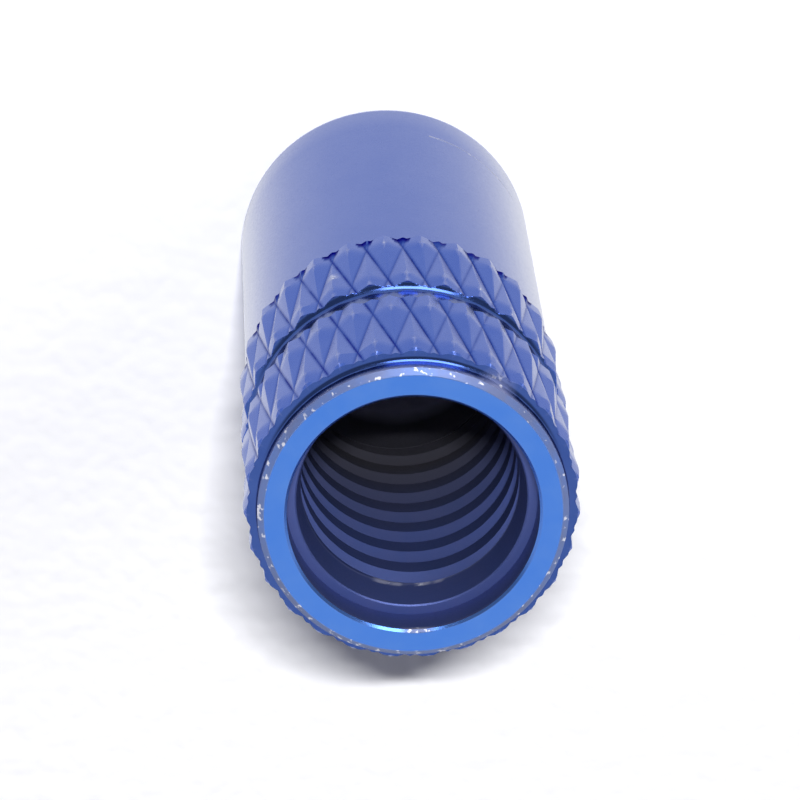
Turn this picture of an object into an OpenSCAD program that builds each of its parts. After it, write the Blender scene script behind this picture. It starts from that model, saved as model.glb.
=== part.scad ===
// Screw-on cap for a narrow bicycle tyre valve, turned from one piece of aluminium.
// It stands on its closed end with the threaded mouth up. The Z axis is the axis of the cap,
// and the origin is the centre of the closed end.

/* [Bore] */
// Diameter of the counterbore that clears the valve's thread; the body and the bore follow it
counterbore_d = 5.2; // [5:0.05:8]
// Depth of the counterbore from the face
counterbore_l = 0.8; // [0.4:0.05:1.5]
// Bevel on the inner edge of the face
mouth_bevel = 0.05; // [0.02:0.01:0.1]
// Width of the step from the counterbore to the lead-in cone
lead_step = 0.18; // [0.05:0.01:0.22]
// Length of the lead-in cone
lead_l = 0.85; // [0.3:0.05:1.5]
// Height from the counterbore's wall to the crests of the internal thread
thread_step = 0.31; // [0.25:0.01:0.4]
// Thickness left between the tip of the drilled bore and the closed end
bore_floor = 1.37; // [0.8:0.01:4]
// Full angle of the drill's point
drill_point = 118; // [90:1:140]

/* [Body] */
// Overall length, from the closed end to the face at the mouth
cap_l = 16.4; // [14:0.1:24]
// Thickness of the plain body round the counterbore
wall = 0.75; // [0.7:0.01:1.5]
// Rounding of the edge round the closed end
end_r = 0.5; // [0.1:0.05:1.5]

/* [Neck at the mouth] */
// Thickness of the short neck round the counterbore, in front of the knurled grip
neck_wall = 0.6; // [0.4:0.01:0.62]
// Length of the neck, from the face to the shoulder
neck_l = 0.48; // [0.4:0.01:0.8]
// Fillet in the corner between neck and shoulder
neck_r = 0.13; // [0.05:0.01:0.13]
// Bevel on the outer edge of the face
rim_bevel = 0.12; // [0.02:0.01:0.2]

/* [Knurled grip] */
// Number of knurl grooves of each hand
knurl_count = 27; // [18:1:36]
// Angle between the knurl grooves and the axis
knurl_angle = 11.6; // [8:0.2:20]
// Height of the knurl crests above the plain body
knurl_rise = 0.15; // [0.1:0.01:0.2]
// Depth of the knurl grooves below the crests
knurl_depth = 0.14; // [0.08:0.01:0.22]
// Bevel on the ends of the teeth at the neck
knurl_bevel = 0.08; // [0.02:0.01:0.12]
// How much shallower the grooves of the second hand are, as the second knurling wheel leaves them
second_hand_rise = 0.01; // [0.005:0.005:0.03]
// Width of the flat left on each crest
crest_w = 0.04; // [0.02:0.01:0.1]
// Direction, from the X axis, in which two knurl grooves cross on the band near the mouth
knurl_turn = -90; // [-90:1:90]
// Length of the knurled band next to the neck
front_band_l = 3.17; // [2.9:0.01:3.5]
// Length of the knurled band behind the turned groove
rear_band_l = 2.84; // [2.6:0.01:3.2]
// Width of the turned groove between the bands, at the crests
groove_w = 0.75; // [0.7:0.01:0.9]
// Depth of the turned groove below the crests
groove_depth = 0.21; // [0.18:0.01:0.3]
// Radius that the tool leaves in the two corners of the turned groove
groove_r = 0.18; // [0.05:0.01:0.18]

/* [Hidden] */
$fn = 96;

// Reach of the cutters past the faces that they cut
reach = 0.5;
// How far the plain body runs into the grip
lap = 0.05;
body_r = counterbore_d / 2 + wall;
neck_out_r = counterbore_d / 2 + neck_wall;
crest_r = body_r + knurl_rise;
root_r = crest_r - knurl_depth;
grip_l = front_band_l + groove_w + rear_band_l;
// The knurl is cut in two halves, which meet inside the turned groove
half_grip_l = grip_l / 2;
shoulder_z = cap_l - neck_l;
grip_z = shoulder_z - grip_l;
grip_middle_z = grip_z + half_grip_l;
groove_z = grip_z + rear_band_l;
// Half the width of one knurl groove where it meets the crests, square to the groove
knurl_half_w = (PI * crest_r * cos(knurl_angle) / knurl_count) - crest_w / 2;
lead_d = counterbore_d - 2 * lead_step;
// The tapping drill leaves the bore at the diameter of the thread's crests
bore_d = counterbore_d - 2 * thread_step;
drill_tip_l = (bore_d / 2) / tan(drill_point / 2);
bore_z = bore_floor + drill_tip_l;
lead_z = cap_l - counterbore_l - lead_l;

// Plain body with its rounded closed end, up to the grip
module plain_body() {
    rotate_extrude() {
        translate([0, end_r])
            square([body_r, grip_z - end_r + lap]);
        square([body_r - end_r, end_r]);
        intersection() {
            translate([body_r - end_r, end_r])
                circle(r = end_r);
            square([body_r, end_r]);
        }
    }
}

// One V groove of the knurl: a straight ridge, tilted by the knurl angle, that touches
// the root of the teeth halfway up the half of the grip that it crosses. It runs past the
// outer end of that half, and ends inside the turned groove at the other.
module knurl_cutter(tilt, depth, side) {
    below = (half_grip_l / 2 + (side < 0 ? reach : 0)) / cos(tilt);
    above = (half_grip_l / 2 + (side > 0 ? reach : 0)) / cos(tilt);
    translate([crest_r - depth, 0, 0])
        rotate([tilt, 0, 0])
            translate([0, 0, -below])
                linear_extrude(height = below + above)
                    polygon([
                        [0, 0],
                        [depth, knurl_half_w],
                        [depth + reach, knurl_half_w],
                        [depth + reach, -knurl_half_w],
                        [depth, -knurl_half_w]
                    ]);
}

// All knurl grooves of one hand on one half of the grip, the first at the start angle
module knurl_cutters(tilt, depth, start, side) {
    for (i = [0 : knurl_count - 1])
        rotate([0, 0, start + i * 360 / knurl_count])
            knurl_cutter(tilt, depth, side);
}

// The crossed grooves of one half of the grip, the rear half for a side of -1 and the front
// half for 1. The helix of each hand turns with the height from the middle of the grip.
module knurl(side) {
    height = side * half_grip_l / 2;
    helix_turn = height * tan(knurl_angle) / root_r * 180 / PI;
    quarter_pitch = 360 / knurl_count / 4;
    hand_turn = quarter_pitch - helix_turn;
    translate([0, 0, grip_middle_z + height]) {
        knurl_cutters(knurl_angle, knurl_depth, knurl_turn + hand_turn, side);
        knurl_cutters(-knurl_angle, knurl_depth - second_hand_rise, knurl_turn - hand_turn, side);
    }
}

// The blank of the grip and the neck, knurled in two halves
module grip() {
    difference() {
        translate([0, 0, grip_z])
            cylinder(r = crest_r, h = cap_l - grip_z);
        knurl(-1);
        knurl(1);
    }
}

// What is turned off the blank in front of the grip: the neck with its fillet, and the bevels
module neck_cut() {
    rotate_extrude() {
        translate([neck_out_r + neck_r, shoulder_z])
            square([crest_r, neck_l + reach]);
        translate([neck_out_r, shoulder_z + neck_r])
            square([crest_r, neck_l + reach]);
        translate([neck_out_r + neck_r, shoulder_z + neck_r])
            circle(r = neck_r);
        polygon([
            [neck_out_r - rim_bevel - reach, cap_l + reach],
            [neck_out_r + reach, cap_l - rim_bevel - reach],
            [neck_out_r + reach, cap_l + reach]
        ]);
    }
}

// Section of the turned groove: flat floor, rounded corners and straight walls
module groove_section() {
    floor_r = crest_r - groove_depth;
    translate([floor_r + groove_r, groove_z])
        square([groove_depth + reach, groove_w]);
    translate([floor_r, groove_z + groove_r])
        square([groove_depth + reach, groove_w - 2 * groove_r]);
    for (z = [groove_r, groove_w - groove_r])
        translate([floor_r + groove_r, groove_z + z])
            circle(r = groove_r);
}

module turned_groove() {
    rotate_extrude()
        groove_section();
}

// Bevel on the teeth next to the neck, as a cone that takes off their corners
module tooth_bevel() {
    rotate_extrude()
        polygon([
            [crest_r - 2 * knurl_bevel, shoulder_z + knurl_bevel],
            [crest_r + knurl_bevel, shoulder_z - 2 * knurl_bevel],
            [crest_r + knurl_bevel, shoulder_z + knurl_bevel]
        ]);
}

// Counterbore, lead-in cone, and the drilled bore at the thread's crests with its point
module bore() {
    translate([0, 0, bore_floor])
        cylinder(r1 = 0, r2 = bore_d / 2, h = drill_tip_l);
    translate([0, 0, bore_z])
        cylinder(d = bore_d, h = lead_z - bore_z);
    translate([0, 0, lead_z])
        cylinder(d1 = bore_d, d2 = lead_d, h = lead_l);
    translate([0, 0, cap_l - counterbore_l])
        cylinder(d = counterbore_d, h = counterbore_l + reach);
    translate([0, 0, cap_l - mouth_bevel])
        cylinder(d1 = counterbore_d, d2 = counterbore_d + 2 * mouth_bevel, h = mouth_bevel);
}

module valve_cap() {
    color("#4f74cc")
        difference() {
            union() {
                plain_body();
                grip();
            }
            neck_cut();
            turned_groove();
            tooth_bevel();
            bore();
        }
}

valve_cap();
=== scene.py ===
import math
import random

import bmesh
import bpy
from mathutils import Matrix, Vector, noise


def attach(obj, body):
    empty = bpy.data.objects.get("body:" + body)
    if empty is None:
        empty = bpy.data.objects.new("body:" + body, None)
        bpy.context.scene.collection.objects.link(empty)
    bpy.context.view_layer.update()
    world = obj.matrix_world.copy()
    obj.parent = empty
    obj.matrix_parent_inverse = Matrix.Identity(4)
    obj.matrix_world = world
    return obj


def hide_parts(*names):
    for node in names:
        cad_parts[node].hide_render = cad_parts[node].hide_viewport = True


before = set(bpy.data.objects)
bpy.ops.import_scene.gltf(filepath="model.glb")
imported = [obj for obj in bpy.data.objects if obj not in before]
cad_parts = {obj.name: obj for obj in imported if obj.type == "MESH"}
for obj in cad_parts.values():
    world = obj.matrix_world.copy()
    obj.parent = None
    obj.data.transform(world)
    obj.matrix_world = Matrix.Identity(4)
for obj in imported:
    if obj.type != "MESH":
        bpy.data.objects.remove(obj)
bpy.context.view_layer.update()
mm = 0.001
hair = 1e-3   # mm: what lies nearer than this is taken as level
weld = 1e-4   # mm: what lies nearer than this is one point
slack = 0.01  # mm: what lies this much farther out still counts as inside
dice = random.Random(11)
scene = bpy.context.scene
print("frame loaded")


def linearColour(hexCode):  # sRGB hex to the linear values that Blender works in
    channels = [int(hexCode[i:i + 2], 16) / 255 for i in (1, 3, 5)]
    return tuple(c / 12.92 if c <= 0.04045 else ((c + 0.055) / 1.055) ** 2.4 for c in channels) + (1.0,)


def addNode(tree, kind, settings=None, values=None, links=None):
    node = tree.nodes.new(kind)
    for name, value in (settings or {}).items():
        setattr(node, name, value)
    for socket, value in (values or {}).items():
        node.inputs[socket].default_value = value
    for socket, source in (links or {}).items():
        tree.links.new(source, node.inputs[socket])
    return node


# Camera: placed as the photograph was taken, close to the mouth and looking down into it
cameraSettings = {
    "place": (4.61, -39.56, 108.05),  # mm from the centre of the closed end
    "turn": (22.13, 6.61, 173.87),    # tilt from straight down, turn round Z, roll, in degrees
    "lens": 219.6,                    # mm
    "sensor": 36,                     # mm
    "nearest": 0.005,                 # m: nothing nearer to the lens is drawn
}


def makeCamera(s):
    camera = bpy.data.objects.new("camera", bpy.data.cameras.new("camera"))
    scene.collection.objects.link(camera)
    tilt, turn, roll = (math.radians(a) for a in s["turn"])
    aim = Matrix.Rotation(turn, 4, "Z") @ Matrix.Rotation(tilt, 4, "X") @ Matrix.Rotation(roll, 4, "Z")
    camera.matrix_world = Matrix.Translation(Vector(s["place"]) * mm) @ aim
    camera.data.lens = s["lens"]
    camera.data.sensor_width = s["sensor"]
    camera.data.clip_start = s["nearest"]
    scene.camera = camera


makeCamera(cameraSettings)
print("camera placed")

# The looks of the metal, in the order in which the cap takes its materials
satinLook, brightLook, boreLook, shadedTurnedLook, knurledLook = range(5)

# The cap: one turned piece. Sizes in mm, heights from the closed end.
cap = {
    "length": 16.4,
    "bodyRadius": 3.35,
    "bodyRows": 8,
    "endRound": 0.5,
    "endSteps": 8,
    "endRing": 1.4,          # radius of the one ring of points on the closed end
    "columns": 648,          # faces round the outside: 24 for each of the 27 teeth
    "boreColumns": 144,
    # knurled grip
    "teeth": 27,
    "knurlAngle": 11.6,      # degrees from the axis
    "knurlTurn": -90,        # degrees from X: two grooves cross here on the front band
    "crestRadius": 3.5,
    "rootRadius": 3.36,
    "secondHandRise": 0.012,
    "grooveSpread": 0.01,    # how much deeper or shallower one groove may be
    "crestFlat": 0.05,       # share of the tooth pitch
    "gripEnds": (9.16, 15.92),
    "gripRows": 60,          # counted each way from the middle: more than the grip has room for
    "rowGap": 0.02,          # rows nearer than this to the end of a band are left out
    "toothBevel": 0.08,      # on the ends of the teeth at the neck
    "turnedGroove": {"low": 12.0, "width": 0.75, "depth": 0.21, "corner": 0.18, "steps": 9, "wallGap": 0.002},
    # neck, face and mouth
    "neckRadius": 3.2,
    "neckFillet": 0.13,
    "filletSteps": 6,
    "rimBevel": 0.12,
    "mouthRadius": 2.6,
    "mouthBevel": 0.05,
    "mouthRow": 0.12,        # from the mouth bevel down to the row at which its wear ends
    "mouthDepth": 0.8,
    "faceInset": 0.025,      # from each edge of the face to the next row
    # bore
    "leadRadius": 2.42,
    "leadLength": 0.85,
    "leadBevel": 0.03,
    "leadFoot": ((0.007, 0.14), (0, 0.07)),  # rows above the first thread: out from its crest, and up
    "threadRadius": 2.29,    # at the crests
    "threadDepth": 0.31,
    "threadPitch": 1.058,
    "threadLength": 7.4,
    "threadCrest": 0.49,     # flat left on each crest, along the axis
    "threadFlank": 0.18,
    "threadStart": 40,       # degrees from X at which the sweep begins
    "threadBefore": 1.2,     # turns swept below the thread, which are cut off again
    "threadSpare": 2,        # turns swept over and above its length
    "threadEnd": (0.01, 0.1),  # lip at the end of the thread: in from the crests, and down to the bore
    "burr": 0.012,           # lip raised by the tap at the first thread
    "burrGap": 0.005,        # what lies this far inside the crests is a burr or a lip
    "boreFloor": 1.37,
    "drillPoint": 118,
    # edges that turn by more degrees than these look sharp
    "toothCrease": 7,
    "crease": 24,
    # wear, painted glints and painted shade go from 0, none, to 1, full, and a little over where they are to
    # spread
    # painted shade: dark in the roots of the knurl, and where its grooves run out on the body (pits)
    "valleyShade": {"a": 0.8, "b": 0.4},  # in the roots of either hand
    "valleyFall": 8,         # how fast it thins out away from the root
    "pits": {"length": 0.35, "rise": 0.05, "paintedShade": 1.3, "fall": 3},  # where the grooves run out on the body
    "rub": {"noise": 0.9, "depth": 0.05, "start": 0.6},  # takes the crests down in patches
    "crestWear": {"start": 0.9, "gain": 6},
    # painted glints: pale specks on the tooth tips next to the ends of each band
    "bandEndGlint": {"reach": 0.1, "start": 0.7, "gain": 3},
    "rimWear": 0.95,
    "mouthWear": 0.2,
    "threadWear": 0.35,
    "cleanGap": 0.1,         # the wear ends this far from the first thread and from the mouth bevel
    # marks of use: radius, height, degrees from X, size and strength
    "scuffs": [
        (2.62, 16.38, 93, 0.45, 1.8),     # burr on the mouth
        (3.15, 16.33, -122, 0.6, 1.6),    # worn patch on the rim
        (3.15, 16.36, -99, 0.25, 1.5),
        (3.15, 16.36, -66, 0.15, 1.3),
        (3.48, 10.75, -63, 0.22, 1.6),    # nick in the rear band
        (2.28, 14.78, 76, 0.25, 1.8),     # burrs on the first thread
        (2.28, 14.78, 84, 0.16, 1.8),
        (2.28, 14.78, 98, 0.22, 1.6),
        (2.28, 14.78, 106, 0.14, 1.6),
    ],
    # faint arc that a tool left round part of the body, near the closed end
    "toolMark": {"height": 1.9, "halfWidth": 0.07, "turns": (-150, -106), "wear": 0.9},
}


def arcPoints(centre, radius, first, last, steps):
    angles = [math.radians(first + (last - first) * i / steps) for i in range(steps + 1)]
    return [(centre[0] + radius * math.cos(a), centre[1] + radius * math.sin(a)) for a in angles]


def addProfile(bm, points):
    verts = [bm.verts.new((r, 0, z)) for r, z in points]
    edges = [bm.edges.new(pair) for pair in zip(verts, verts[1:])]
    return verts + edges


def spinRound(bm, points, columns):  # one full turn round Z
    profile = addProfile(bm, points)
    bmesh.ops.spin(
        bm, geom=profile, cent=(0, 0, 0), axis=(0, 0, 1), angle=2 * math.pi, steps=columns, use_merge=True,
    )


def edgesAt(bm, height, lowest, highest):  # open edges at one height, between two radii
    found = []
    for e in bm.edges:
        if len(e.link_faces) != 1:
            continue
        level = all(abs(v.co.z - height) < weld for v in e.verts)
        between = all(lowest <= math.hypot(v.co.x, v.co.y) <= highest for v in e.verts)
        if level and between:
            found.append(e)
    return found


def grooveRadius(s, height):  # the turned groove has a flat floor and rounded corners
    groove = s["turnedGroove"]
    fromWall = min(height - groove["low"], groove["low"] + groove["width"] - height)
    if fromWall < weld:
        return math.inf
    inCorner = max(0, groove["corner"] - fromWall)
    floor = s["crestRadius"] - groove["depth"]
    return floor + groove["corner"] - math.sqrt(groove["corner"] ** 2 - inCorner ** 2)


def knurlSetting(s):  # angle from tooth to tooth, and how many teeth a groove moves round in 1 mm of height
    pitch = 2 * math.pi / s["teeth"]
    perHeight = math.tan(math.radians(s["knurlAngle"])) / s["rootRadius"] / pitch
    return pitch, perHeight


def gripHeights(s):  # a row for each column that a groove moves, and the rows of the turned groove
    low, high = s["gripEnds"]
    middle = (low + high) / 2
    groove = s["turnedGroove"]
    columnsPerTooth = s["columns"] / s["teeth"]
    rowStep = 1 / columnsPerTooth / knurlSetting(s)[1]
    ends = (low, groove["low"], groove["low"] + groove["width"], high - s["toothBevel"], high)
    rows = [middle + k * rowStep for k in range(-s["gripRows"], s["gripRows"] + 1)]
    heights = list(ends)
    for start, stop in ((ends[0], ends[1]), (ends[2], ends[3])):
        heights += [z for z in rows if start + s["rowGap"] < z < stop - s["rowGap"]]
    cornerStep = math.pi / 2 / groove["steps"]
    for k in range(groove["steps"] + 1):
        fromWall = groove["corner"] * (1 - math.cos(cornerStep * k)) + groove["wallGap"]
        heights += [ends[1] + fromWall, ends[2] - fromWall]
    return sorted(heights)


def outerProfile(s):
    low, high = s["gripEnds"]
    mark, rows = s["toolMark"], s["bodyRows"]
    heights = [s["endRound"] + (low - s["endRound"]) * k / rows for k in range(1, rows + 1)]
    heights += [mark["height"] - mark["halfWidth"], mark["height"], mark["height"] + mark["halfWidth"]]
    endCentre = (s["bodyRadius"] - s["endRound"], s["endRound"])
    filletCentre = (s["neckRadius"] + s["neckFillet"], high + s["neckFillet"])
    rim, mouth, face = s["neckRadius"] - s["rimBevel"], s["mouthRadius"], s["length"]
    return (
        [(0, 0), (s["endRing"], 0)]
        + arcPoints(endCentre, s["endRound"], -90, 0, s["endSteps"])
        + [(s["bodyRadius"], z) for z in sorted(heights)]
        + [(s["crestRadius"], z) for z in gripHeights(s)]
        + arcPoints(filletCentre, s["neckFillet"], 270, 180, s["filletSteps"])
        + [
            (s["neckRadius"], face - s["rimBevel"]),
            (rim, face),
            (rim - s["faceInset"], face),
            (mouth + s["mouthBevel"] + s["faceInset"], face),
            (mouth + s["mouthBevel"], face),
            (mouth, face - s["mouthBevel"]),
            (mouth, face - s["mouthBevel"] - s["mouthRow"]),
            (mouth, face - s["mouthDepth"]),
        ]
    )


def cutKnurl(bm, s, wearAndGlintLayer, paintedShadeLayer):
    pitch, perHeight = knurlSetting(s)
    quarter = 1 / 4  # of a tooth pitch: from knurlTurn to a groove of either hand, halfway up the grip
    low, high = s["gripEnds"]
    middle = (low + high) / 2
    # the second wheel cuts a little less deep than the first, and no two grooves are quite alike
    offsets = {}
    for hand, rise in (("a", 0), ("b", s["secondHandRise"])):
        spread = [dice.uniform(-s["grooveSpread"], s["grooveSpread"]) for k in range(s["teeth"])]
        offsets[hand] = [rise + d for d in spread]
    depth = s["crestRadius"] - s["rootRadius"]
    groove, pits, rub = s["turnedGroove"], s["pits"], s["rub"]
    crestWear, endGlint = s["crestWear"], s["bandEndGlint"]
    bandEnds = (groove["low"], groove["low"] + groove["width"], high - s["toothBevel"])
    grooveVerts = set()
    for v in bm.verts:
        if math.hypot(v.co.x, v.co.y) < s["crestRadius"] - hair:
            continue
        height = v.co.z - middle
        turn = (math.atan2(v.co.y, v.co.x) - math.radians(s["knurlTurn"])) / pitch
        lanes = (turn - quarter + height * perHeight, turn + quarter - height * perHeight)
        best, valley = math.inf, 0
        for hand, lane in zip("ab", lanes):
            number = round(lane)
            away = min(1, abs(lane - number) / (0.5 - s["crestFlat"] / 2))
            root = s["rootRadius"] + offsets[hand][number % s["teeth"]]
            best = min(best, root + (s["crestRadius"] - root) * away)
            # painted shade along the root of each groove
            valley = max(valley, (1 - away * s["valleyFall"]) * s["valleyShade"][hand])
        # crests are rolled a little unevenly and have been rubbed down in places
        rubbed = max(0, noise.noise(Vector((v.co.x, v.co.y, v.co.z)) * rub["noise"]))
        best -= rubbed * rub["depth"] * max(0, (best - s["rootRadius"]) / depth - rub["start"])
        crestness = (best - s["rootRadius"]) / depth
        v[wearAndGlintLayer] = max(0, crestness - crestWear["start"]) * crestWear["gain"]
        # painted glints: pale tips and specks on the teeth next to the ends of the bands, carried with the
        # wear
        if min(abs(v.co.z - edge) for edge in bandEnds) < endGlint["reach"]:
            v[wearAndGlintLayer] += max(0, crestness - endGlint["start"]) * endGlint["gain"]
        v[paintedShadeLayer] = max(0, valley)
        best = min(best, s["crestRadius"] - s["toothBevel"] + high - v.co.z)
        # painted shade where the grooves run out on the body
        if v.co.z < low + pits["length"] and best < s["bodyRadius"] + pits["rise"]:
            v[paintedShadeLayer] = pits["paintedShade"] - pits["fall"] * (v.co.z - low)
        turned = grooveRadius(s, v.co.z)
        if turned < best:
            best = turned
            v[wearAndGlintLayer] = v[paintedShadeLayer] = 0
            grooveVerts.add(v)
        v.co.xy = v.co.xy.normalized() * best
    # each square folds along its lower diagonal, so that the V grooves stay straight
    inmost = s["rootRadius"] - 0.1  # what lies farther in is neck or bore
    for f in list(bm.faces):
        if len(f.verts) != 4:
            continue
        onGrip = low - hair < f.calc_center_median().z < high + hair
        if not onGrip or min(v.co.xy.length for v in f.verts) < inmost:
            continue
        a, b, c, d = f.verts
        ac, bd = a.co.xy.length + c.co.xy.length, b.co.xy.length + d.co.xy.length
        if ac < bd - weld:
            bmesh.utils.face_split(f, a, c)
        elif bd < ac - weld:
            bmesh.utils.face_split(f, b, d)
    return grooveVerts


def makeThread(bm, s):  # one turn's profile swept up the bore, and cut off square at both ends
    top = s["length"] - s["mouthDepth"] - s["leadLength"]
    bottom = top - s["threadLength"]
    crest, root = s["threadRadius"], s["threadRadius"] + s["threadDepth"]
    pitch, flat, flank = s["threadPitch"], s["threadCrest"], s["threadFlank"]
    turns = math.ceil(s["threadLength"] / pitch) + s["threadSpare"]
    start = bottom - pitch * s["threadBefore"]
    rows = [
        (crest, start),
        (crest, start + flat),
        (root, start + flat + flank),
        (root, start + pitch - flank),
        (crest, start + pitch),
    ]
    profile = addProfile(bm, rows)
    corners = [g for g in profile if isinstance(g, bmesh.types.BMVert)]
    startTurn = Matrix.Rotation(math.radians(s["threadStart"]), 3, "Z")
    bmesh.ops.rotate(bm, verts=corners, cent=(0, 0, 0), matrix=startTurn)
    bmesh.ops.spin(
        bm, geom=profile, cent=(0, 0, 0), axis=(0, 0, 1), dvec=(0, 0, pitch / s["boreColumns"]),
        angle=turns * 2 * math.pi, steps=turns * s["boreColumns"],
    )
    bmesh.ops.remove_doubles(bm, verts=bm.verts, dist=weld)
    for height, up in ((top, 1), (bottom, -1)):
        bmesh.ops.bisect_plane(
            bm, geom=bm.verts[:] + bm.edges[:] + bm.faces[:], dist=1e-5,
            plane_co=(0, 0, height), plane_no=(0, 0, up), clear_outer=True,
        )
    return top, bottom


def addWear(bm, s, wearAndGlintLayer, top):  # on the rims, the first thread, the tool mark and the scuffs
    face, mark = s["length"], s["toolMark"]
    rim = s["neckRadius"] - s["rimBevel"]
    mouth = s["mouthRadius"] + s["mouthBevel"]
    first, last = mark["turns"]
    scuffs = []
    for radius, height, turn, size, strength in s["scuffs"]:
        angle = math.radians(turn)
        scuffs.append((Vector((radius * math.cos(angle), radius * math.sin(angle), height)), size, strength))
    for v in bm.verts:
        r, z = v.co.xy.length, v.co.z
        if z > face - s["rimBevel"] - hair and r > rim - hair:
            v[wearAndGlintLayer] = s["rimWear"]
        elif z > face - s["mouthBevel"] - hair and r < mouth + hair:
            v[wearAndGlintLayer] = s["mouthWear"]
        elif abs(z - top) < hair and r < s["threadRadius"] - s["burrGap"]:
            v[wearAndGlintLayer] = s["threadWear"]
        elif abs(z - mark["height"]) < hair:
            turn = math.degrees(math.atan2(v.co.y, v.co.x))
            v[wearAndGlintLayer] = mark["wear"] * (first < turn < last)
        elif z > face - hair:
            continue
        for place, size, strength in scuffs:
            near = 1 - (v.co - place).length / size
            if near > 0:
                v[wearAndGlintLayer] = max(v[wearAndGlintLayer], strength * near)
        # the wall between the first thread and the mouth bevel stays clean
        clean = top + s["cleanGap"] < z < face - s["mouthBevel"] - s["cleanGap"]
        if clean and r < s["mouthRadius"] + slack:
            v[wearAndGlintLayer] = 0


def shareLooks(bm, s, grooveVerts):  # each face takes its look by where it lies
    low, high = s["gripEnds"]
    for f in bm.faces:
        f.smooth = True
        centre = f.calc_center_median()
        r, z = centre.xy.length, centre.z
        inBore = s["boreFloor"] - slack < z < s["length"] - s["mouthBevel"] - hair
        if inBore and r < s["mouthRadius"] + slack:
            f.material_index = boreLook
        elif z > s["length"] - s["rimBevel"]:
            f.material_index = brightLook
        # the neck and the turned groove take the bright look's copy with painted shade
        elif z > high - hair or all(v in grooveVerts for v in f.verts):
            f.material_index = shadedTurnedLook
        elif z > low - hair:
            f.material_index = knurledLook
        else:
            f.material_index = satinLook


def markCreases(bm, s, grooveVerts):
    low, high = s["gripEnds"]
    inmost = s["rootRadius"] - 0.03  # what lies farther in isn't on the teeth
    for e in bm.edges:
        if len(e.link_faces) != 2:
            continue
        if all(v in grooveVerts for f in e.link_faces for v in f.verts):
            continue
        onTeeth = all(low - hair < v.co.z < high + hair and v.co.xy.length > inmost for v in e.verts)
        limit = math.radians(s["toothCrease"] if onTeeth else s["crease"])
        e.smooth = e.calc_face_angle(0) < limit


def makeCap(s):
    bm = bmesh.new()
    # bore: the thread first, then the lead-in cone in front of it and the drilled end behind
    top, bottom = makeThread(bm, s)
    crest = s["threadRadius"]
    tip = crest / math.tan(math.radians(s["drillPoint"] / 2))
    step = s["length"] - s["mouthDepth"]
    lead = [(s["leadRadius"], step), (s["leadRadius"] - s["leadBevel"], step - s["leadBevel"])]
    lead += [(crest + out, top + up) for out, up in s["leadFoot"]]
    lead += [(crest - s["burr"], top)]
    lip, lipEnd = s["threadEnd"]
    drilled = [(crest - lip, bottom), (crest, bottom - lipEnd)]
    drilled += [(crest, s["boreFloor"] + tip), (0, s["boreFloor"])]
    for points in (lead, drilled):
        spinRound(bm, points, s["boreColumns"])
    for height in (top, bottom):
        inner = edgesAt(bm, height, 0, crest - s["burrGap"])
        outer = edgesAt(bm, height, crest - s["burrGap"], math.inf)
        bmesh.ops.triangle_fill(bm, edges=inner + outer, normal=(0, 0, 1))
    print("bore and thread made")

    spinRound(bm, outerProfile(s), s["columns"])
    onStep = (s["leadRadius"] + s["mouthRadius"]) / 2
    bmesh.ops.bridge_loops(bm, edges=edgesAt(bm, step, 0, onStep) + edgesAt(bm, step, onStep, math.inf))
    bmesh.ops.remove_doubles(bm, verts=bm.verts, dist=weld)
    # wear, and the painted glints at the band ends
    wearAndGlintLayer = bm.verts.layers.float.new("wear")
    paintedShadeLayer = bm.verts.layers.float.new("paintedShade")
    grooveVerts = cutKnurl(bm, s, wearAndGlintLayer, paintedShadeLayer)
    print("outside made, knurl cut")

    addWear(bm, s, wearAndGlintLayer, top)
    bmesh.ops.recalc_face_normals(bm, faces=bm.faces)
    if bm.calc_volume(signed=True) < 0:
        bmesh.ops.reverse_faces(bm, faces=bm.faces)
    shareLooks(bm, s, grooveVerts)
    markCreases(bm, s, grooveVerts)
    openEdges = sum(len(e.link_faces) != 2 for e in bm.edges)
    triangles = sum(len(f.verts) - 2 for f in bm.faces)
    print("open edges:", openEdges, "triangles:", triangles)
    bmesh.ops.scale(bm, vec=(mm, mm, mm), verts=bm.verts)
    mesh = bpy.data.meshes.new("valveCap")
    bm.to_mesh(mesh)
    bm.free()
    piece = bpy.data.objects.new("valveCap", mesh)
    scene.collection.objects.link(piece)
    return piece


capPiece = makeCap(cap)
print("cap made")

# Anodised aluminium, satin: a blue dye under a clear oxide, on metal that was etched before dyeing.
# To the eye: a cool violet-blue that pales to white where it is seen at a flat angle, with a fine even grain.
satin = {
    "colour": "#1C4FB2",
    "paler": "#3A5CB6",
    "edge": "#FFFFFF",
    "rubbed": "#8C92B8",
    "bare": "#D8DAE8",
    # painted shade, and the edge tint under it
    "paintedShade": "#14206C",
    "paintedShadeEdge": "#404C8C",
    "roughness": 0.22,
    "grain": 0.07,       # mm across one grain of the etch
    "cloud": 1.1,        # mm across the slow variation of the dye
    "grainHeight": 0.0012,
    "metal": 1.0,
    "coat": (0.4, 1.0),  # seen straight on, and at a flat angle
}
# The same metal on the teeth, where rolling has closed the grain: bluer, with painted shade in the roots,
# rubbed tips and painted glints at the ends of the bands.
knurled = {
    "colour": "#3C5CB4",
    "paler": "#526CBA",
    "edge": "#C8D2F4",
    "rubbed": "#98A0C8",
    "bare": "#E4E6F0",
    # painted shade in the roots, and the edge tint under it
    "paintedShade": "#1C2C80",
    "paintedShadeEdge": "#5864A4",
    "roughness": 0.26,
    "grain": 0.07,
    "cloud": 0.9,
    "grainHeight": 0.001,
    "metal": 1.0,
    "coat": (0.55, 1.0),
}
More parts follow.
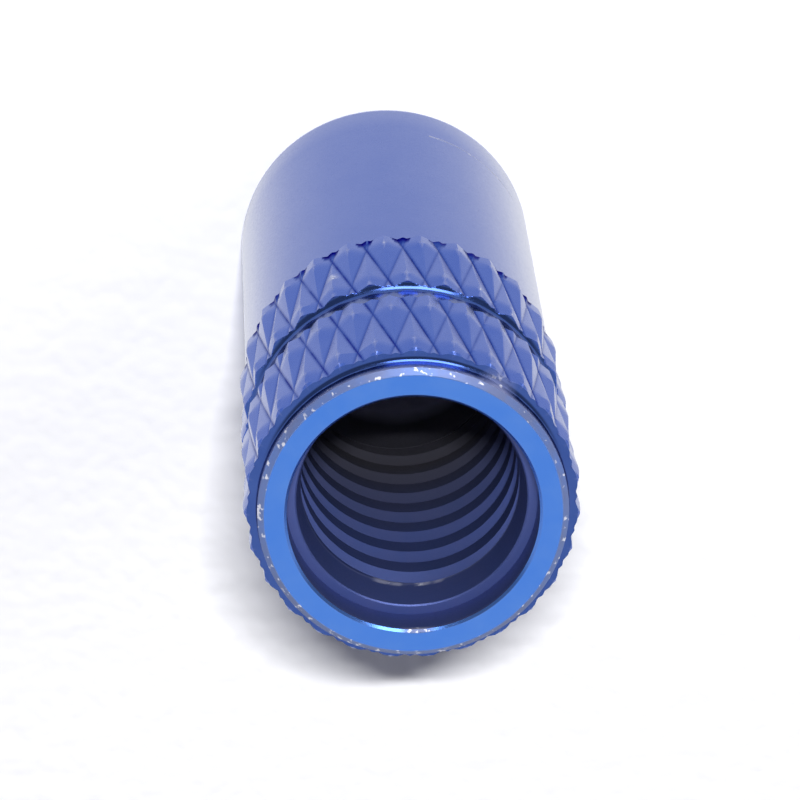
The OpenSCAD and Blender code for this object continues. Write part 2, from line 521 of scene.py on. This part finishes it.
# Anodised aluminium, turned bright: the face was cut with a sharp tool and shows a clean light blue.
bright = {
    "colour": "#4A7CD2",
    "paler": "#5A86D2",
    "edge": "#FFFFFF",
    "rubbed": "#66729C",
    "bare": "#D4D6E4",
    # painted shade, and the edge tint under it
    "paintedShade": "#1C2670",
    "paintedShadeEdge": "#FFFFFF",
    "roughness": 0.15,
    "grain": 0.05,
    "cloud": 0.8,
    "grainHeight": 0.0004,
    "metal": 1.0,
    "coat": (0.0, 0.0),
}
# The same metal in the neck and the turned groove, where light gets in less: a darker copy of the bright
# look, as painted shade.
turned = {
    "colour": "#3A5294",
    "paler": "#465E9E",
    "edge": "#FFFFFF",
    "rubbed": "#8088B4",
    "bare": "#D8DAE8",
    # painted shade, and the edge tint under it
    "paintedShade": "#1C2670",
    "paintedShadeEdge": "#FFFFFF",
    "roughness": 0.17,
    "grain": 0.05,
    "cloud": 0.8,
    "grainHeight": 0.0004,
    "metal": 1.0,
    "coat": (0.0, 0.0),
}
# The same metal inside the bore, duller: oil and dust from the tyre lie in the thread, and little
# light gets in. Deeper in, painted shade turns it dark grey, and painted light pales its drilled end.
inside = {
    "colour": "#485894",
    "paler": "#525C94",
    "deep": "#44444E",            # painted shade: dark grey deeper in the bore
    "deepHeights": (12.5, 8.5),   # mm: it comes in from the first to the second
    # painted light: pale on the drill's point and the wall next to it
    "end": "#D8D8E8",             # on the drill's point and the wall next to it
    "endHeights": (6.0, 5.2),
    "edge": "#FFFFFF",
    "rubbed": "#9094B0",
    "bare": "#C8CAD8",
    # painted shade, and the edge tint under it
    "paintedShade": "#1C2670",
    "paintedShadeEdge": "#FFFFFF",
    "roughness": 0.45,
    "grain": 0.05,
    "cloud": 0.6,
    "grainHeight": 0.0005,
    "metal": 0.6,
    "coat": (0.0, 0.0),
}
# What the looks share. A pair is a range: of a noise, of wear or of an angle, or of what it is turned into.
shared = {
    "palerCloud": (0.35, 0.75),    # of the cloud noise
    "palerShare": (0, 0.6),
    "rubbedCloud": (0.3, 0.6),
    "rubbedShare": (0.6, 1),
    "speckWear": (0.3, 0.6),
    "speckSize": 0.18,             # mm
    "speckNoise": (0.60, 0.66),
    # painted shade in the knurl, broken up by the cloud noise
    "shadeCloud": (0.3, 0.62),
    "shadeShare": (0.45, 1),
    "coatFacing": (0.735, 0.875),  # 0 straight on, 1 at the flattest angle
    "glossGrain": (0.3, 0.7),
    "gloss": (-0.04, 0.06),        # roughness less and more than the look's own
    "wornMetal": 0.35,
    "wornRoughness": 0.5,
    "coatRoughness": 0.25,
    "coatIor": 1.3,
}


def mixColour(tree, factor, below, above):  # above is a hex colour, below a hex colour or a socket
    node = addNode(tree, "ShaderNodeMix", {"data_type": "RGBA"}, {7: linearColour(above)}, {0: factor})
    if isinstance(below, str):
        node.inputs[6].default_value = linearColour(below)
    else:
        tree.links.new(below, node.inputs[6])
    return node.outputs[2]


def remap(tree, source, fromRange, toRange=(0, 1)):
    values = {"From Min": fromRange[0], "From Max": fromRange[1], "To Min": toRange[0], "To Max": toRange[1]}
    return addNode(tree, "ShaderNodeMapRange", values=values, links={"Value": source}).outputs[0]


def times(tree, first, second):
    settings = {"operation": "MULTIPLY", "use_clamp": True}
    return addNode(tree, "ShaderNodeMath", settings, links={0: first, 1: second}).outputs[0]


def addNoise(tree, place, size, detail=3):
    values = {"Scale": 1 / (size * mm), "Detail": detail, "Roughness": 0.6}
    return addNode(tree, "ShaderNodeTexNoise", values=values, links={"Vector": place}).outputs["Fac"]


def anodisedAluminium(name, s, common):
    material = bpy.data.materials.new(name)
    material.use_nodes = True
    tree = material.node_tree
    tree.nodes.clear()
    place = addNode(tree, "ShaderNodeTexCoord").outputs["Object"]
    grain = addNoise(tree, place, s["grain"])
    cloud = addNoise(tree, place, s["cloud"], 4)
    wear = addNode(tree, "ShaderNodeAttribute", {"attribute_name": "wear"}).outputs["Fac"]
    # painted shade mask, set on the teeth
    paintedShade = addNode(tree, "ShaderNodeAttribute", {"attribute_name": "paintedShade"}).outputs["Fac"]
    pale = remap(tree, cloud, common["palerCloud"], common["palerShare"])
    colour = mixColour(tree, pale, s["colour"], s["paler"])
    # painted shade, then painted light: the bore turns dark grey deeper in, and pale at its drilled end
    if "deep" in s:
        height = addNode(tree, "ShaderNodeSeparateXYZ", links={0: place}).outputs["Z"]
        for key in ("deep", "end"):
            heights = [h * mm for h in s[key + "Heights"]]
            colour = mixColour(tree, remap(tree, height, heights), colour, s[key])
    # rims and crests are rubbed pale, and bare metal shows in a few specks; on the tooth tips next to the
    # band ends these pale tips and specks are painted glints
    rubbed = times(tree, wear, remap(tree, cloud, common["rubbedCloud"], common["rubbedShare"]))
    colour = mixColour(tree, rubbed, colour, s["rubbed"])
    worn = remap(tree, wear, common["speckWear"])
    spots = remap(tree, addNoise(tree, place, common["speckSize"], 2), common["speckNoise"])
    colour = mixColour(tree, times(tree, worn, spots), colour, s["bare"])
    # painted shade in the roots of the knurl and where its grooves run out: darker colour and edge tint
    shadeMask = times(tree, paintedShade, remap(tree, cloud, common["shadeCloud"], common["shadeShare"]))
    colour = mixColour(tree, shadeMask, colour, s["paintedShade"])
    edge = mixColour(tree, shadeMask, s["edge"], s["paintedShadeEdge"])
    # the clear oxide shines most at flat angles, and less where shade is painted
    facing = addNode(tree, "ShaderNodeLayerWeight", values={"Blend": 0.5}).outputs["Facing"]
    clear = remap(tree, facing, common["coatFacing"], s["coat"])
    coat = times(tree, clear, remap(tree, shadeMask, (0, 1), (1, 0)))
    less, more = common["gloss"]
    gloss = remap(tree, grain, common["glossGrain"], (s["roughness"] + less, s["roughness"] + more))
    metal = remap(tree, wear, (0, 1), (s["metal"], common["wornMetal"]))
    dull = addNode(
        tree, "ShaderNodeMix", {"data_type": "FLOAT"}, {3: common["wornRoughness"]}, {0: wear, 2: gloss},
    )
    relief = {"Strength": 1.0, "Distance": s["grainHeight"] * mm}
    bump = addNode(tree, "ShaderNodeBump", values=relief, links={"Height": grain})
    shader = addNode(
        tree, "ShaderNodeBsdfPrincipled",
        values={"Coat Roughness": common["coatRoughness"], "Coat IOR": common["coatIor"]},
        links={
            "Base Color": colour,
            "Specular Tint": edge,
            "Metallic": metal,
            "Coat Weight": coat,
            "Roughness": dull.outputs[0],
            "Normal": bump.outputs["Normal"],
        },
    )
    addNode(tree, "ShaderNodeOutputMaterial", links={"Surface": shader.outputs[0]})
    return material


looks = {  # in the order of the numbers given above
    "anodisedAluminiumSatin": satin,
    "anodisedAluminiumBright": bright,
    "anodisedAluminiumBore": inside,
    "anodisedAluminiumTurnedShaded": turned,
    "anodisedAluminiumKnurled": knurled,
}
for name, look in looks.items():
    capPiece.data.materials.append(anodisedAluminium(name, look, shared))
print("materials made")

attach(capPiece, "root")
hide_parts("valve_cap")

# Stage: white paper floor that also shows white in the metal. The room is white on one side, as paper
# in front of the cap would be, and dim on the other, where the lamps are.
stage = {
    "floorSize": 3.0,        # m
    "floor": "#F6F6F8",
    "floorGlow": 0.03,
    "floorGrain": 0.6,       # mm across one dimple of the paper
    "floorRelief": 0.05,     # mm
    "roomGlow": 0.045,       # on matt surfaces
    "roomTint": "#9498EC",   # on matt surfaces: the cap's own blue fills its shadow
    "brightSide": 1.12,      # in the metal, towards +Y
    "dimSide": 0.3,          # in the metal, towards -Y
    "sideEdge": (-0.3, 0.1),  # how far towards Y a ray points where dim gives way to bright
    "keyPlace": (0.0075, -0.1525, 0.32),  # m
    "keySize": (0.045, 0.004),
    "keyPower": 1.38,
    "fillPlace": (-0.16, -0.10, 0.22),
    "fillSize": (0.12, 0.12),
    "fillPower": 0.13,
    "windowPlace": (-0.04, -0.30, 0.09),
    "windowSize": (0.20, 0.20),
    "windowPower": 1.0,
}


def addLamp(name, place, size, power):
    lamp = bpy.data.lights.new(name, "AREA")
    lamp.shape = "RECTANGLE"
    lamp.size, lamp.size_y = size
    lamp.energy = power
    lampObject = bpy.data.objects.new(name, lamp)
    scene.collection.objects.link(lampObject)
    aim = (-Vector(place)).to_track_quat("-Z", "Y").to_matrix().to_4x4()
    lampObject.matrix_world = Matrix.Translation(place) @ aim
    return lampObject


def mirrorRays(tree, light):  # 1 for what shows in metal, 0 for what lights a matt surface
    rays = {0: light.outputs["Is Glossy Ray"], 1: light.outputs["Is Transmission Ray"]}
    return addNode(tree, "ShaderNodeMath", {"operation": "MAXIMUM"}, links=rays).outputs[0]


def makeStage(s):
    floorMesh = bpy.data.meshes.new("paperFloor")
    bm = bmesh.new()
    bmesh.ops.create_grid(bm, x_segments=2, y_segments=2, size=s["floorSize"] / 2)
    bm.to_mesh(floorMesh)
    bm.free()
    floor = bpy.data.objects.new("paperFloor", floorMesh)
    scene.collection.objects.link(floor)
    paper = bpy.data.materials.new("mattPaper")
    paper.use_nodes = True
    tree = paper.node_tree
    tree.nodes.clear()
    light = addNode(tree, "ShaderNodeLightPath")
    place = addNode(tree, "ShaderNodeTexCoord").outputs["Object"]
    dimples = addNoise(tree, place, s["floorGrain"], 1)
    depth = {"Distance": s["floorRelief"] * mm}
    relief = addNode(tree, "ShaderNodeBump", values=depth, links={"Height": dimples}).outputs["Normal"]
    colour = {"Color": linearColour(s["floor"])}
    matt = addNode(tree, "ShaderNodeBsdfDiffuse", values=colour, links={"Normal": relief})
    seen = {0: light.outputs["Is Camera Ray"]}
    glow = addNode(tree, "ShaderNodeMath", {"operation": "MULTIPLY"}, {1: s["floorGlow"]}, seen)
    lift = addNode(tree, "ShaderNodeEmission", links={"Strength": glow.outputs[0]})
    both = addNode(tree, "ShaderNodeAddShader", links={0: matt.outputs[0], 1: lift.outputs[0]})
    white = addNode(tree, "ShaderNodeEmission", values={"Strength": 1.0})
    mixed = {0: mirrorRays(tree, light), 1: both.outputs[0], 2: white.outputs[0]}
    surface = addNode(tree, "ShaderNodeMixShader", links=mixed)
    addNode(tree, "ShaderNodeOutputMaterial", links={"Surface": surface.outputs[0]})
    floorMesh.materials.append(paper)

    world = bpy.data.worlds.new("studio")
    scene.world = world
    world.use_nodes = True
    tree = world.node_tree
    tree.nodes.clear()
    light = addNode(tree, "ShaderNodeLightPath")
    direction = addNode(tree, "ShaderNodeTexCoord").outputs["Generated"]
    way = addNode(tree, "ShaderNodeSeparateXYZ", links={0: direction}).outputs["Y"]
    low, high = s["sideEdge"]
    sides = {"From Min": low, "From Max": high, "To Min": s["dimSide"], "To Max": s["brightSide"]}
    side = addNode(tree, "ShaderNodeMapRange", {"interpolation_type": "SMOOTHSTEP"}, sides, {"Value": way})
    mirrored = mirrorRays(tree, light)
    camera = light.outputs["Is Camera Ray"]
    mix = {"data_type": "FLOAT"}
    inMetal = addNode(tree, "ShaderNodeMix", mix, {2: s["roomGlow"]}, {0: mirrored, 3: side.outputs[0]})
    strength = addNode(tree, "ShaderNodeMix", mix, {3: 1.0}, {0: camera, 2: inMetal.outputs[0]})
    plain = addNode(tree, "ShaderNodeMath", {"operation": "MAXIMUM"}, links={0: mirrored, 1: camera})
    tint = mixColour(tree, plain.outputs[0], s["roomTint"], "#FFFFFF")
    room = addNode(tree, "ShaderNodeBackground", links={"Color": tint, "Strength": strength.outputs[0]})
    addNode(tree, "ShaderNodeOutputWorld", links={"Surface": room.outputs[0]})

    key = addLamp("keySoftbox", s["keyPlace"], s["keySize"], s["keyPower"])
    key.visible_glossy = False
    fill = addLamp("fillSoftbox", s["fillPlace"], s["fillSize"], s["fillPower"])
    fill.visible_glossy = False
    window = addLamp("lowWindow", s["windowPlace"], s["windowSize"], s["windowPower"])
    window.visible_diffuse = False


makeStage(stage)
scene.view_settings.view_transform = "Standard"
print("stage made")
